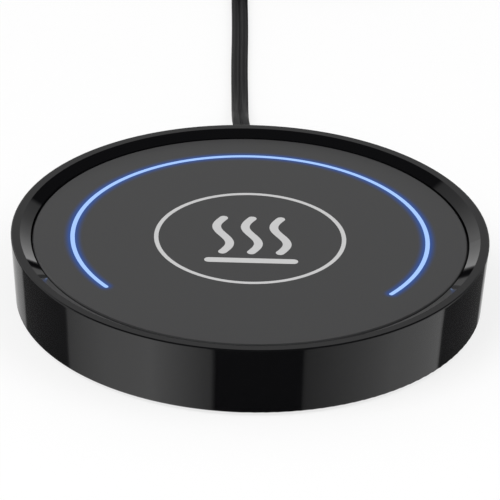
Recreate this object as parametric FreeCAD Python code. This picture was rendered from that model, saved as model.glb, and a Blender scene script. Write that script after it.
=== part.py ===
import FreeCAD, Part
import math
import os

os.makedirs("parts", exist_ok=True)

Vector = FreeCAD.Vector
up = Vector(0, 0, 1)
axis_point = Vector(0, 0, 0)

# Driving sizes, in mm. The table top is z = 0, the front is -Y and the lead leaves at +Y.
rim_radius = 60.0
housing_height = 18.1
wall_draft = 1.35
wall = 2.0
rim_flat = 2.3
rim_edge_round = 0.35
slope_width = 2.7
slope_drop = 1.4
plate_gap = 0.5
plate_thickness = 3.0
plate_edge_bevel = 0.25
plate_travel = 1.0
stop_gap = 0.3
fit_gap = 0.05
loose_gap = 0.2

# Feet, base cover and screws
foot_standoff = 0.8
foot_thickness = 1.5
foot_radius = 5.0
foot_inset = 16.0
foot_edge_round = 0.3
base_thickness = 2.0
base_gap = 0.25
screw_inset = 7.5
corner_angles = [45, 135, 225, 315]
boss_radius = 3.0
boss_gap = 0.5
housing_screw_radius = 1.2
housing_screw_head = 2.5
housing_screw_head_height = 1.1
housing_screw_cover = 0.85
small_screw_radius = 0.9
small_screw_head = 1.7
small_screw_head_height = 0.8

# The stack that moves with the plate
bead_height = 0.3
bead_width = 5.0
bead_inset = 1.5
carrier_height = 3.7
carrier_body_inset = 1.0
flange_overlap = 1.4
flange_height = 1.6
light_inset = 10.0
light_opening = 104.0
groove_width = 3.0
groove_wall = 1.8
groove_floor = 0.8
strip_thickness = 0.8
light_length = 1.6
light_width = 0.8
light_height = 0.6
light_step = 15
guide_height = 1.3
spreader_thickness = 1.2
spreader_gap = 0.7
element_thickness = 0.6
element_inset = 2.5
insulation_gap = 1.7
backing_thickness = 0.6
backing_overlap = 1.3
ear_length = 9.5
ear_width = 7.0
ear_angles = [90, 210, 330]
ear_screw_inset = 5.0
ear_screw_length = 3.1
terminal_spread = 6.0
terminal_row = -6.0
terminal_width = 4.0
terminal_metal = 0.8
terminal_drop = 1.0
sensor_row = -16.0
sensor_radius = 1.8
sensor_length = 6.0
fuse_row = -26.0
fuse_radius = 2.0
fuse_length = 11.0
clip_metal = 0.4
clip_length = 5.0
clip_tab = 3.0

# Return springs on their guides
spring_inset = 5.0
spring_angles = [30, 150, 270]
pin_radius = 1.8
pin_floor_gap = 0.6
socket_wall = 0.75
socket_top_gap = 1.3
spring_wire = 0.6
spring_turns = 5

# Microswitch
switch_inset = 8.0
switch_angle = 240
switch_length = 12.8
switch_depth = 5.8
switch_top_gap = 1.9
switch_lid = 0.8
switch_floor = 1.2
plunger_radius = 1.2
plunger_foot_radius = 2.0
plunger_foot_height = 1.2
plunger_spare_travel = 0.6

# Control board and what stands on it: each spot is (sideways, behind the board's front edge)
board_width = 46.0
board_depth = 34.0
board_clamp_gap = 12.0
board_thickness = 1.2
board_post_height = 1.0
board_post_radius = 2.0
board_post_inset = 2.5
part_gap = 0.4
relay_length = 15.0
relay_depth = 10.0
relay_spot = (12.0, 14.0)
film_capacitor_length = 12.0
film_capacitor_depth = 6.5
film_capacitor_spot = (-14.0, 22.5)
smoothing_capacitor_radius = 2.5
smoothing_capacitor_spot = (-16.0, 13.0)
chip_length = 8.0
chip_depth = 6.0
chip_height = 1.6
chip_spot = (-6.5, 12.0)
board_fuse_radius = 1.6
board_fuse_length = 9.0
board_fuse_spot = (14.0, 22.0)
terminal_block_length = 12.0
terminal_block_depth = 6.5
terminal_block_inset = 1.0
heater_wire_radius = 0.6
sensor_wire_radius = 0.35
sensor_wire_spread = 0.8
light_wire_radius = 0.3
light_wire_spread = 0.4
light_wire_offset = 10
switch_wire_radius = 0.5
switch_wire_spread = 0.9
fuse_lead_radius = 0.45
fuse_lead_reach = 3.5

# Lead, strain relief and cord clamp
lead_width = 4.6
lead_thickness = 2.4
lead_axis_height = 4.9
neck_width = 6.0
neck_height = 3.2
relief_corner = 0.8
grommet_width = 8.4
grommet_height = 4.0
grommet_thickness = 1.7
collar_width = 8.6
collar_height = 5.6
collar_thickness = 2.0
tail_length = 18.0
tail_turn = 7.0
tail_base_width = 7.8
tail_base_height = 5.0
tail_tip_width = 6.2
tail_tip_height = 3.8
tail_notch_width = 1.0
tail_notch_depth = 0.7
tail_notch_step = 3.2
tail_notch_count = 4
clamp_inset = 10.0
clamp_length = 18.0
clamp_depth = 4.0
clamp_thickness = 1.4
clamp_screw_spread = 6.5
clamp_post_radius = 2.2
core_spread = 1.15
core_spread_at_block = 3.0
core_wire_radius = 0.75
lead_inner_reach = 5.0

# Free stretch of the lead: how far behind the rim and how far to the side each bend lies
lead_bend_runs = [38.0, 50.0, 69.0, 93.0, 118.0]
lead_bend_sides = [-3.6, -3.8, -4.1, -3.1, -3.9]
lead_first_run = 9.0
lead_last_run = 15.0
lead_drop_height = 2.4
lead_last_rise = 0.1

# Coil, tie and plug
coil_reach = 158.0
coil_left = -5.0
coil_pitch = 5.2
coil_first_radius = 35.0
coil_inward_turns = 3
layer_rise = 3.3
coil_floor_gap = 0.6
tie_thickness = 0.5
tie_width = 6.0
tie_side_gap = 0.4
tie_top_gap = 0.25
plug_tail_length = 12.0
plug_tail_width = 6.8
plug_tail_height = 4.6
plug_width = 24.0
plug_height = 12.6
plug_length = 20.0
plug_neck_width = 13.0
plug_neck_height = 9.0
plug_round = 2.4
blade_spacing = 12.7
blade_thickness = 1.5
blade_narrow = 6.35
blade_wide = 7.9
blade_length = 17.0
blade_root = 4.0

# Radii and heights that follow
housing_bottom = foot_standoff
housing_top = housing_bottom + housing_height
base_top = housing_bottom + base_thickness
lip_radius = rim_radius - rim_flat - slope_width
plate_radius = lip_radius - plate_gap
bead_outer_radius = plate_radius - bead_inset
bead_inner_radius = bead_outer_radius - bead_width
light_circle = plate_radius - light_inset
carrier_body_radius = lip_radius - carrier_body_inset
carrier_inner_radius = light_circle - groove_width / 2 - groove_wall
spreader_radius = carrier_inner_radius - spreader_gap
element_radius = spreader_radius - element_inset
insulation_radius = carrier_inner_radius - insulation_gap
backing_radius = carrier_inner_radius + backing_overlap
ear_screw_circle = carrier_body_radius - ear_screw_inset
spring_circle = carrier_body_radius - spring_inset
switch_circle = carrier_body_radius - switch_inset
screw_circle = rim_radius - screw_inset
foot_circle = rim_radius - foot_inset
clamp_row = rim_radius - clamp_inset
lead_inner_end = clamp_row - lead_inner_reach
board_back = clamp_row - board_clamp_gap
board_front = board_back - board_depth
coil_row = rim_radius + coil_reach
plate_top = housing_top - slope_drop
plate_bottom = plate_top - plate_thickness
carrier_top = plate_bottom - bead_height
carrier_bottom = carrier_top - carrier_height
flange_radius = lip_radius + flange_overlap
lip_bottom = carrier_top + stop_gap
spreader_bottom = plate_bottom - spreader_thickness
element_bottom = spreader_bottom - element_thickness
backing_bottom = carrier_bottom - backing_thickness
groove_bottom = carrier_bottom + groove_floor
strip_top = groove_bottom + strip_thickness
board_bottom = base_top + board_post_height
board_top = board_bottom + board_thickness
part_height = backing_bottom - plate_travel - board_top - part_gap
switch_height = carrier_bottom - base_top - switch_top_gap
boss_top = carrier_bottom - plate_travel - boss_gap
housing_screw_seat = housing_bottom + housing_screw_head_height + fit_gap
housing_screw_length = boss_top - housing_screw_seat - housing_screw_cover
light_start = -90 + light_opening / 2
light_sweep = 360 - light_opening
lead_under = lead_axis_height - lead_thickness / 2
lead_over = lead_axis_height + lead_thickness / 2


def wall_radius(z):
    return rim_radius - wall_draft * (housing_top - z) / housing_height


def disc(radius, low, high, x=0.0, y=0.0):
    return Part.makeCylinder(radius, high - low, Vector(x, y, low), up)


def block(width, depth, low, high, x=0.0, y=0.0):
    return Part.makeBox(width, depth, high - low, Vector(x - width / 2, y - depth / 2, low))


def spun(points, start=0.0, sweep=360.0):
    corners = [Vector(radius, 0, z) for radius, z in points]
    face = Part.Face(Part.makePolygon(corners + corners[:1]))
    solid = face.revolve(axis_point, up, sweep)
    solid.rotate(axis_point, up, start)
    return solid


def turned(shape, angle):
    copy = shape.copy()
    copy.rotate(axis_point, up, angle)
    return copy


def on_circle(radius, angle):
    return radius * math.cos(math.radians(angle)), radius * math.sin(math.radians(angle))


def joined(shapes):
    solid = shapes[0].fuse(shapes[1:]) if len(shapes) > 1 else shapes[0]
    return solid.removeSplitter()


def rim_edges(shape, radius, z):
    found = []
    for edge in shape.Edges:
        curve = edge.Curve
        if not isinstance(curve, Part.Circle):
            continue
        if abs(curve.Radius - radius) < 0.01 and abs(curve.Center.z - z) < 0.01:
            found.append(edge)
    return found


def screw(radius, head_radius, head_low, head_high, tip, x, y):
    head = disc(head_radius, head_low, head_high, x, y)
    if tip > head_high:
        return joined([head, disc(radius, head_high, tip, x, y)])
    return joined([head, disc(radius, tip, head_low, x, y)])


def rounded_block(width, height, low, high, radius):
    # A bar along Y with its four long edges rounded
    bar = Part.makeBox(width, high - low, height, Vector(-width / 2, low, -height / 2))
    edges = [edge for edge in bar.Edges if abs(edge.tangentAt(edge.FirstParameter).y) > 0.9]
    return bar.makeFillet(radius, edges)


def rounded_outline(width, height, radius, y):
    section = rounded_block(width, height, y, y + 1, radius)
    faces = [face for face in section.Faces if abs(face.CenterOfMass.y - y) < 0.001]
    return faces[0].OuterWire


def flat_section(centre, along):
    # The lead's flat outline, its width level and its middle on the route
    side = along.cross(up).normalize()
    rise = side.cross(along).normalize()
    half = (lead_width - lead_thickness) / 2
    radius = lead_thickness / 2
    right = centre + side * half
    left = centre - side * half
    top_line = Part.LineSegment(left + rise * radius, right + rise * radius)
    right_arc = Part.Arc(right + rise * radius, right + side * radius, right - rise * radius)
    low_line = Part.LineSegment(right - rise * radius, left - rise * radius)
    left_arc = Part.Arc(left - rise * radius, left - side * radius, left + rise * radius)
    return Part.Wire([top_line.toShape(), right_arc.toShape(), low_line.toShape(), left_arc.toShape()])


def flat_area():
    return math.pi * (lead_thickness / 2) ** 2 + (lead_width - lead_thickness) * lead_thickness


def route_wire(points, share=0.45):
    # Straight runs joined by tangent arcs, each as large as its two runs allow
    edges = []
    radii = []
    last = points[0]
    for before, corner, after in zip(points, points[1:], points[2:]):
        come = (corner - before).normalize()
        go = (after - corner).normalize()
        half_turn = come.getAngle(go) / 2
        reach = share * min((corner - before).Length, (after - corner).Length)
        radius = reach / math.tan(half_turn)
        start = corner - come * reach
        end = corner + go * reach
        inward = (go - come).normalize()
        middle = corner + inward * (radius / math.cos(half_turn) - radius)
        edges.append(Part.LineSegment(last, start).toShape())
        edges.append(Part.Arc(start, middle, end).toShape())
        radii.append(radius)
        last = end
    edges.append(Part.LineSegment(last, points[-1]).toShape())
    return Part.Wire(edges), radii


def flat_tube(wire, start, along):
    return wire.makePipeShell([flat_section(start, along)], True, False)


def round_wire(points, radius):
    wire, _ = route_wire(points)
    along = (points[1] - points[0]).normalize()
    outline = Part.Wire([Part.makeCircle(radius, points[0], along)])
    return wire.makePipeShell([outline], True, False)


def housing_shell():
    inner_low = wall_radius(housing_bottom) - wall
    inner_high = wall_radius(lip_bottom) - wall
    shell = spun([
        (wall_radius(housing_bottom), housing_bottom),
        (rim_radius, housing_top),
        (rim_radius - rim_flat, housing_top),
        (lip_radius, plate_top),
        (lip_radius, lip_bottom),
        (inner_high, lip_bottom),
        (inner_low, housing_bottom),
    ])
    edges = rim_edges(shell, rim_radius, housing_top)
    edges += rim_edges(shell, wall_radius(housing_bottom), housing_bottom)
    shell = shell.makeFillet(rim_edge_round, edges)
    boss = disc(boss_radius, base_top, boss_top, screw_circle)
    rib_end = wall_radius(base_top) - wall / 2
    rib = block(rib_end - screw_circle, boss_radius, base_top, boss_top, (rib_end + screw_circle) / 2)
    post = joined([boss, rib])
    shell = joined([shell] + [turned(post, angle) for angle in corner_angles])
    pilot_top = housing_screw_seat + housing_screw_length + loose_gap
    pilot = disc(housing_screw_radius + fit_gap, base_top, pilot_top, screw_circle)
    for angle in corner_angles:
        shell = shell.cut(turned(pilot, angle))
    width = neck_width + 2 * fit_gap
    height = neck_height + 2 * fit_gap
    opening = rounded_block(width, height, lip_radius, rim_radius, relief_corner)
    opening.translate(Vector(0, 0, lead_axis_height))
    return shell.cut(opening)


def base_cover():
    cover = disc(wall_radius(housing_bottom) - wall - base_gap, housing_bottom, base_top)
    socket_top = carrier_bottom - plate_travel - socket_top_gap
    sleeve = disc(pin_radius + fit_gap + socket_wall, base_top, socket_top, spring_circle)
    adds = [turned(sleeve, angle) for angle in spring_angles]
    for x, y in board_corners():
        adds.append(disc(board_post_radius, base_top, board_bottom, x, y))
    for side in (-1, 1):
        adds.append(disc(clamp_post_radius, base_top, lead_over, side * clamp_screw_spread, clamp_row))
    adds.append(block(lead_width, clamp_depth / 2, base_top, lead_under, 0, clamp_row))
    cover = joined([cover] + adds)
    cuts = []
    recess = disc(foot_radius + loose_gap, housing_bottom, foot_thickness, foot_circle)
    bore = disc(housing_screw_radius + 2 * loose_gap, housing_bottom, base_top, screw_circle)
    head_room = disc(housing_screw_head + loose_gap, housing_bottom, housing_screw_seat, screw_circle)
    for angle in corner_angles:
        cuts += [turned(recess, angle), turned(bore, angle), turned(head_room, angle)]
    socket = disc(pin_radius + fit_gap, base_top, socket_top, spring_circle)
    cuts += [turned(socket, angle) for angle in spring_angles]
    for x, y in board_screw_spots():
        cuts.append(disc(small_screw_radius + fit_gap, small_screw_floor(), board_bottom, x, y))
    for side in (-1, 1):
        x = side * clamp_screw_spread
        cuts.append(disc(small_screw_radius + fit_gap, small_screw_floor(), lead_over, x, clamp_row))
    return cover.cut(cuts)


def small_screw_floor():
    return housing_bottom + base_thickness / 2


def board_corners():
    x = board_width / 2 - board_post_inset
    rows = (board_front + board_post_inset, board_back - board_post_inset)
    return [(side * x, row) for side in (-1, 1) for row in rows]


def board_screw_spots():
    corners = board_corners()
    return [corners[0], corners[-1]]


def rubber_foot(angle):
    x, y = on_circle(foot_circle, angle)
    foot = disc(foot_radius, 0, foot_thickness, x, y)
    return foot.makeFillet(foot_edge_round, rim_edges(foot, foot_radius, 0))


def housing_screws():
    seat = housing_screw_seat
    head_low = seat - housing_screw_head_height
    tip = seat + housing_screw_length
    one = screw(housing_screw_radius, housing_screw_head, head_low, seat, tip, screw_circle, 0)
    return Part.makeCompound([turned(one, angle) for angle in corner_angles])


def glass_plate():
    plate = disc(plate_radius, plate_bottom, plate_top)
    return plate.makeChamfer(plate_edge_bevel, rim_edges(plate, plate_radius, plate_top))


def silicone_bead():
    hole = disc(bead_inner_radius, carrier_top, plate_bottom)
    return disc(bead_outer_radius, carrier_top, plate_bottom).cut(hole)


def light_arc(width, low, high, spare=0.0):
    # An arc round the plate, open towards the front
    points = [
        (light_circle - width / 2, low),
        (light_circle + width / 2, low),
        (light_circle + width / 2, high),
        (light_circle - width / 2, high),
    ]
    return spun(points, light_start - spare, light_sweep + 2 * spare)


def plate_carrier():
    flange_bottom = carrier_top - flange_height
    ring = spun([
        (carrier_inner_radius, carrier_bottom),
        (carrier_body_radius, carrier_bottom),
        (carrier_body_radius, flange_bottom),
        (flange_radius, flange_bottom),
        (flange_radius, carrier_top),
        (carrier_inner_radius, carrier_top),
    ])
    pin = disc(pin_radius, base_top + plate_travel + pin_floor_gap, carrier_bottom, spring_circle)
    ring = joined([ring] + [turned(pin, angle) for angle in spring_angles])
    cuts = [light_arc(groove_width, groove_bottom, carrier_top, 1.0)]
    pilot_top = carrier_bottom + ear_screw_length
    pilot = disc(small_screw_radius + fit_gap, carrier_bottom, pilot_top, ear_screw_circle)
    cuts += [turned(pilot, angle) for angle in ear_angles]
    wire_hole = disc(groove_width / 3, carrier_bottom, groove_bottom, light_circle)
    cuts.append(turned(wire_hole, ear_angles[0] + light_wire_offset))
    return ring.cut(cuts)


def light_guide():
    low = strip_top + light_height + loose_gap
    return light_arc(groove_width - 2 * loose_gap, low, low + guide_height)


def light_strip():
    return light_arc(groove_width - 2 * loose_gap, groove_bottom, strip_top)


def strip_lights():
    count = int(light_sweep // light_step)
    spare = (light_sweep - count * light_step) / 2
    one = block(light_width, light_length, strip_top, strip_top + light_height, light_circle)
    angles = [light_start + spare + light_step / 2 + light_step * step for step in range(count)]
    return Part.makeCompound([turned(one, angle) for angle in angles])


def heat_spreader():
    return disc(spreader_radius, spreader_bottom, plate_bottom)


def heating_element():
    return disc(element_radius, element_bottom, spreader_bottom)


def terminal_spots():
    return [(side * terminal_spread, terminal_row) for side in (-1, 1)]


def terminal_slots(low, high):
    spare = 2 * loose_gap
    width = terminal_width + spare
    metal = terminal_metal + spare
    return [block(width, metal, low, high, x, y) for x, y in terminal_spots()]


def element_terminals():
    low = backing_bottom - terminal_drop
    tabs = [block(terminal_width, terminal_metal, low, element_bottom, x, y) for x, y in terminal_spots()]
    return Part.makeCompound(tabs)


def insulation_pad():
    pad = disc(insulation_radius, carrier_bottom, element_bottom)
    return pad.cut(terminal_slots(carrier_bottom, element_bottom))


def backing_disc():
    plate = disc(backing_radius, backing_bottom, carrier_bottom)
    root = backing_radius - ear_width / 2
    ear = block(ear_length + ear_width / 2, ear_width, backing_bottom, carrier_bottom,
                root + (ear_length + ear_width / 2) / 2)
    plate = joined([plate] + [turned(ear, angle) for angle in ear_angles])
    hole = disc(small_screw_radius + loose_gap, backing_bottom, carrier_bottom, ear_screw_circle)
    cuts = [turned(hole, angle) for angle in ear_angles] + terminal_slots(backing_bottom, carrier_bottom)
    return plate.cut(cuts)


def backing_screws():
    low = backing_bottom - small_screw_head_height
    tip = carrier_bottom + ear_screw_length - loose_gap
    one = screw(small_screw_radius, small_screw_head, low, backing_bottom, tip, ear_screw_circle, 0)
    return Part.makeCompound([turned(one, angle) for angle in ear_angles])


def temperature_sensor():
    start = Vector(0, sensor_row - sensor_length / 2, backing_bottom - sensor_radius)
    return Part.makeCylinder(sensor_radius, sensor_length, start, Vector(0, 1, 0))


def thermal_fuse():
    start = Vector(-fuse_length / 2, fuse_row, fuse_axis_height())
    return Part.makeCylinder(fuse_radius, fuse_length, start, Vector(1, 0, 0))


def fuse_clip():
    axis_height = fuse_axis_height()
    outer_radius = fuse_radius + fit_gap + clip_metal
    start = Vector(-clip_length / 2, fuse_row, axis_height)
    outer = Part.makeCylinder(outer_radius, clip_length, start, Vector(1, 0, 0))
    inner = Part.makeCylinder(fuse_radius + fit_gap, clip_length, start, Vector(1, 0, 0))
    sides = block(clip_length, 2 * outer_radius, axis_height, backing_bottom, 0, fuse_row)
    hollow = block(clip_length, 2 * (fuse_radius + fit_gap), axis_height, backing_bottom, 0, fuse_row)
    tab_span = 2 * (outer_radius + clip_tab)
    tabs = block(clip_length, tab_span, backing_bottom - clip_metal, backing_bottom, 0, fuse_row)
    above_top = backing_bottom + 2 * outer_radius
    above = block(clip_length, 4 * outer_radius, backing_bottom, above_top, 0, fuse_row)
    return joined([outer, sides, tabs]).cut([inner, hollow, above])


def return_spring(angle):
    x, y = on_circle(spring_circle, angle)
    radius = pin_radius + fit_gap + socket_wall + loose_gap + spring_wire / 2
    height = carrier_bottom - base_top - spring_wire
    helix = Part.makeHelix(height / spring_turns, height, radius)
    outline = Part.Wire([Part.makeCircle(spring_wire / 2, Vector(radius, 0, 0), Vector(0, 1, 0))])
    coil = Part.Wire(helix.Edges).makePipeShell([outline], True, True)
    coil.translate(Vector(x, y, base_top + spring_wire / 2))
    return coil


def plunger_top():
    return carrier_bottom - fit_gap


def plunger_foot_low():
    return base_top + switch_floor + plate_travel + plunger_spare_travel


def microswitch_body():
    top = base_top + switch_height
    body = block(switch_depth, switch_length, base_top, top, switch_circle)
    chamber = disc(plunger_foot_radius + loose_gap, base_top + switch_floor, top - switch_lid, switch_circle)
    bore = disc(plunger_radius + fit_gap, base_top + switch_floor, top, switch_circle)
    return turned(body.cut([chamber, bore]), switch_angle)


def microswitch_plunger():
    low = plunger_foot_low()
    foot = disc(plunger_foot_radius, low, low + plunger_foot_height, switch_circle)
    stem = disc(plunger_radius, low, plunger_top(), switch_circle)
    return turned(joined([foot, stem]), switch_angle)


def control_board():
    board = block(board_width, board_depth, board_bottom, board_top, 0, (board_back + board_front) / 2)
    return board.cut([disc(small_screw_radius + loose_gap, board_bottom, board_top, x, y)
                      for x, y in board_screw_spots()])


def board_screws():
    high = board_top + small_screw_head_height
    tip = small_screw_floor()
    return Part.makeCompound([screw(small_screw_radius, small_screw_head, board_top, high, tip, x, y)
                              for x, y in board_screw_spots()])


def on_board(width, depth, height, x, behind):
    return block(width, depth, board_top, board_top + height, x, board_front + behind)


def relay():
    return on_board(relay_length, relay_depth, part_height, *relay_spot)


def film_capacitor():
    return on_board(film_capacitor_length, film_capacitor_depth, part_height, *film_capacitor_spot)


def smoothing_capacitor():
    x, y = smoothing_capacitor_spot
    return disc(smoothing_capacitor_radius, board_top, board_top + part_height, x, board_front + y)


def control_chip():
    return on_board(chip_length, chip_depth, chip_height, *chip_spot)


def board_fuse():
    x, y = board_fuse_spot
    start = Vector(x, board_front + y, board_top + board_fuse_radius)
    return Part.makeCylinder(board_fuse_radius, board_fuse_length, start, Vector(0, 1, 0))


def terminal_block_back():
    return board_back - terminal_block_inset


def terminal_block():
    middle = terminal_block_back() - terminal_block_depth / 2
    top = board_top + part_height
    return block(terminal_block_length, terminal_block_depth, board_top, top, 0, middle)


def cord_relief():
    inner_wall = relief_inner_face() + grommet_thickness
    outer_wall = relief_collar_end() - collar_thickness
    round_off = relief_corner
    grommet = rounded_block(grommet_width, grommet_height, relief_inner_face(), inner_wall, round_off)
    neck = rounded_block(neck_width, neck_height, inner_wall, outer_wall, round_off)
    collar = rounded_block(collar_width, collar_height, outer_wall, outer_wall + collar_thickness, round_off)
    tail_start = relief_collar_end()
    base_outline = rounded_outline(tail_base_width, tail_base_height, round_off, tail_start)
    tip_outline = rounded_outline(tail_tip_width, tail_tip_height, round_off, tail_start + tail_length)
    tail = Part.makeLoft([base_outline, tip_outline], True, True)
    notches = []
    for step in range(tail_notch_count):
        low = tail_start + tail_notch_step * (step + 1)
        for side in (-1, 1):
            middle = side * (tail_base_width / 2)
            cut = Part.makeBox(2 * tail_notch_depth, tail_notch_width, tail_base_height)
            cut.translate(Vector(middle - tail_notch_depth, low, -tail_base_height / 2))
            notches.append(cut)
    tail = tail.cut(notches)
    tail.rotate(Vector(0, tail_start, 0), up, tail_turn)
    heel_base = Vector(0, tail_start, -tail_tip_height / 2)
    heel = Part.makeCylinder(tail_base_width / 2, tail_tip_height, heel_base, up)
    corner = Vector(-collar_width / 2, tail_start - collar_thickness / 2, -collar_height / 2)
    heel = heel.common(Part.makeBox(collar_width, tail_base_width, collar_height, corner))
    relief = joined([grommet, neck, collar, heel, tail])
    relief.translate(Vector(0, 0, lead_axis_height))
    return relief


def relief_collar_end():
    return wall_radius(lead_axis_height + collar_height / 2) + fit_gap + collar_thickness


def relief_inner_face():
    narrowest = wall_radius(lead_axis_height - grommet_height / 2) - wall
    return math.sqrt(narrowest ** 2 - (grommet_width / 2) ** 2) - fit_gap - grommet_thickness


def relief_direction():
    turn = math.radians(tail_turn)
    return Vector(-math.sin(turn), math.cos(turn), 0)


def relief_tip():
    return Vector(0, relief_collar_end(), lead_axis_height) + relief_direction() * tail_length


def lead_inner():
    start = Vector(0, lead_inner_end, lead_axis_height)
    face = Part.Face(flat_section(start, Vector(0, 1, 0)))
    return face.extrude(Vector(0, relief_inner_face() - lead_inner_end, 0))


def cord_clamp():
    bar = block(clamp_length, clamp_depth, lead_over, lead_over + clamp_thickness, 0, clamp_row)
    return bar.cut([disc(small_screw_radius + loose_gap, lead_over, lead_over + clamp_thickness,
                         side * clamp_screw_spread, clamp_row) for side in (-1, 1)])


def clamp_screws():
    low = lead_over + clamp_thickness
    high = low + small_screw_head_height
    return Part.makeCompound([screw(small_screw_radius, small_screw_head, low, high, small_screw_floor(),
                                    side * clamp_screw_spread, clamp_row) for side in (-1, 1)])


def mains_wire(side):
    # One core of the lead, from its split end up to the terminal block
    back = terminal_block_back()
    height = board_top + part_height / 2
    run = (lead_inner_end - back) / 3
    spread = core_spread_at_block
    return round_wire([
        Vector(side * core_spread, lead_inner_end, lead_axis_height),
        Vector(side * core_spread, lead_inner_end - run, lead_axis_height),
        Vector(side * spread, back + run, height),
        Vector(side * spread, back, height),
    ], core_wire_radius)


def rising_wire(low, high, radius):
    # A slack wire that leaves the board upwards, bows sideways and meets its end from below
    level = low.z + 3 * radius + 2 * loose_gap
    middle = (low + high) * 0.5
    return round_wire([
        low,
        Vector(low.x, low.y, level),
        Vector(middle.x, middle.y, level + loose_gap),
        Vector(high.x, high.y, level),
        high,
    ], radius)


def fuse_axis_height():
    return backing_bottom - fuse_radius


def heater_wires():
    # One straight to its terminal, the other round to the far end of the thermal fuse
    row = board_front + board_post_inset
    tab_low = backing_bottom - terminal_drop
    foot = Vector(terminal_spread, row, board_top)
    tab = Vector(terminal_spread, terminal_row, tab_low)
    direct = rising_wire(foot, tab, heater_wire_radius)
    outside = terminal_spread + terminal_width
    level = fuse_axis_height() - heater_wire_radius
    fused = round_wire([
        Vector(outside, row, board_top),
        Vector(outside, row, level),
        Vector(outside + loose_gap, terminal_row, level + loose_gap),
        Vector(outside, fuse_row + fuse_lead_reach, fuse_axis_height()),
        Vector(outside - fuse_lead_radius, fuse_row, fuse_axis_height()),
        Vector(fuse_length / 2, fuse_row, fuse_axis_height()),
    ], heater_wire_radius)
    return Part.makeCompound([direct, fused])


def fuse_lead():
    # From the near end of the thermal fuse to the other terminal
    x = -fuse_length / 2
    height = backing_bottom - fuse_lead_radius - fit_gap
    tab_face = terminal_row - terminal_metal / 2
    return round_wire([
        Vector(x, fuse_row, fuse_axis_height()),
        Vector(x - fuse_lead_reach, fuse_row, fuse_axis_height()),
        Vector(x - fuse_lead_reach, sensor_row, height),
        Vector(-terminal_spread, tab_face - fuse_lead_reach, height),
        Vector(-terminal_spread, tab_face, height),
    ], fuse_lead_radius)


def sensor_wires():
    wires = []
    height = backing_bottom - sensor_radius
    sensor_end = sensor_row + sensor_length / 2 + fit_gap
    for side in (-1, 1):
        x = side * sensor_wire_spread
        start = Vector(x, board_front + board_post_inset, board_top)
        level = board_top + 4 * sensor_wire_radius
        wires.append(round_wire([
            start,
            Vector(x, start.y, level),
            Vector(x, board_front - board_post_inset, level + loose_gap),
            Vector(x, sensor_end + sensor_length / 2, height - loose_gap),
            Vector(x, sensor_end, height),
        ], sensor_wire_radius))
    return Part.makeCompound(wires)


def light_wires():
    x, y = on_circle(light_circle, ear_angles[0] + light_wire_offset)
    wires = []
    for side in (-1, 1):
        row = x + side * light_wire_spread
        low = Vector(row, board_back - 2 * board_post_inset / 3, board_top)
        wires.append(rising_wire(low, Vector(row, y, groove_bottom), light_wire_radius))
    return Part.makeCompound(wires)


def switch_wires():
    # Two insulated wires along the base from the microswitch up onto the board
    low = base_top + switch_wire_radius + fit_gap
    high = board_top + switch_wire_radius + fit_gap
    reach = switch_depth
    near = switch_circle - switch_depth / 2
    wires = []
    for side in (-1, 1):
        angle = switch_angle + side * math.degrees(switch_wire_spread / near)
        x, y = on_circle(near - fit_gap, angle)
        row = on_circle(near, switch_angle)[0] + side * switch_wire_spread
        wires.append(round_wire([
            Vector(x, y, low + loose_gap),
            Vector(*on_circle(near - reach, angle), low),
            Vector(row + reach, y + 4 * reach, low),
            Vector(row + reach, board_front - reach, low),
            Vector(row + reach, board_front - reach / 3, high),
            Vector(row + reach, board_front + reach / 2, high),
        ], switch_wire_radius))
    return Part.makeCompound(wires)


def coil_height():
    return coil_floor_gap + lead_thickness / 2


def lead_route():
    tip = relief_tip()
    floor = lead_thickness / 2 + fit_gap
    heights = [lead_drop_height, floor, floor, floor, floor + lead_last_rise]
    bends = [Vector(side, rim_radius + run, height)
             for side, run, height in zip(lead_bend_sides, lead_bend_runs, heights)]
    start = coil_lead_in()
    return [
        tip,
        tip + relief_direction() * lead_first_run,
        *bends,
        Vector(start.x, start.y - lead_last_run, start.z),
        start,
    ]


def coil_lead_in():
    return Vector(coil_left, coil_row - lead_width, coil_height())


def half_turn_radii():
    steps = 2 * coil_inward_turns
    inward = [coil_first_radius - coil_pitch / 2 * step for step in range(steps)]
    middle = inward[-1] - coil_pitch / 2
    return inward, middle, inward[:1:-1]


def coil_edges():
    # Level half turns inwards, one tilted half turn up a layer, level half turns outwards, then a quarter
    inward, middle, outward = half_turn_radii()
    row = coil_row
    height = coil_height()
    x = coil_left
    side = 1
    edges = [Part.LineSegment(coil_lead_in(), Vector(x, row, height)).toShape()]
    for radius in inward + [middle] + outward:
        rise = layer_rise if radius == middle else 0.0
        far_x = x + side * 2 * radius
        crest = Vector((x + far_x) / 2, row + side * math.hypot(radius, rise / 2), height + rise / 2)
        edges.append(Part.Arc(Vector(x, row, height), crest, Vector(far_x, row, height + rise)).toShape())
        x = far_x
        height += rise
        side = -side
    last = outward[-1] + coil_pitch / 2
    centre_x = x - last
    slant = last * math.sqrt(0.5)
    end = Vector(centre_x, row - last, height)
    crest = Vector(centre_x + slant, row - slant, height)
    edges.append(Part.Arc(Vector(x, row, height), crest, end).toShape())
    exit_end = end - Vector(lead_width, 0, 0)
    edges.append(Part.LineSegment(end, exit_end).toShape())
    return edges, exit_end


def wind_frames(edges, samples):
    # Points along the winding with the direction of the lead's width at each
    side = Vector(1, 0, 0)
    frames = []
    for edge in edges:
        first, last = edge.FirstParameter, edge.LastParameter
        for step in range(samples):
            at = first + (last - first) * step / samples
            along = edge.tangentAt(at)
            side = (side - along * side.dot(along)).normalize()
            frames.append((edge.valueAt(at), side))
    return frames


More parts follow.
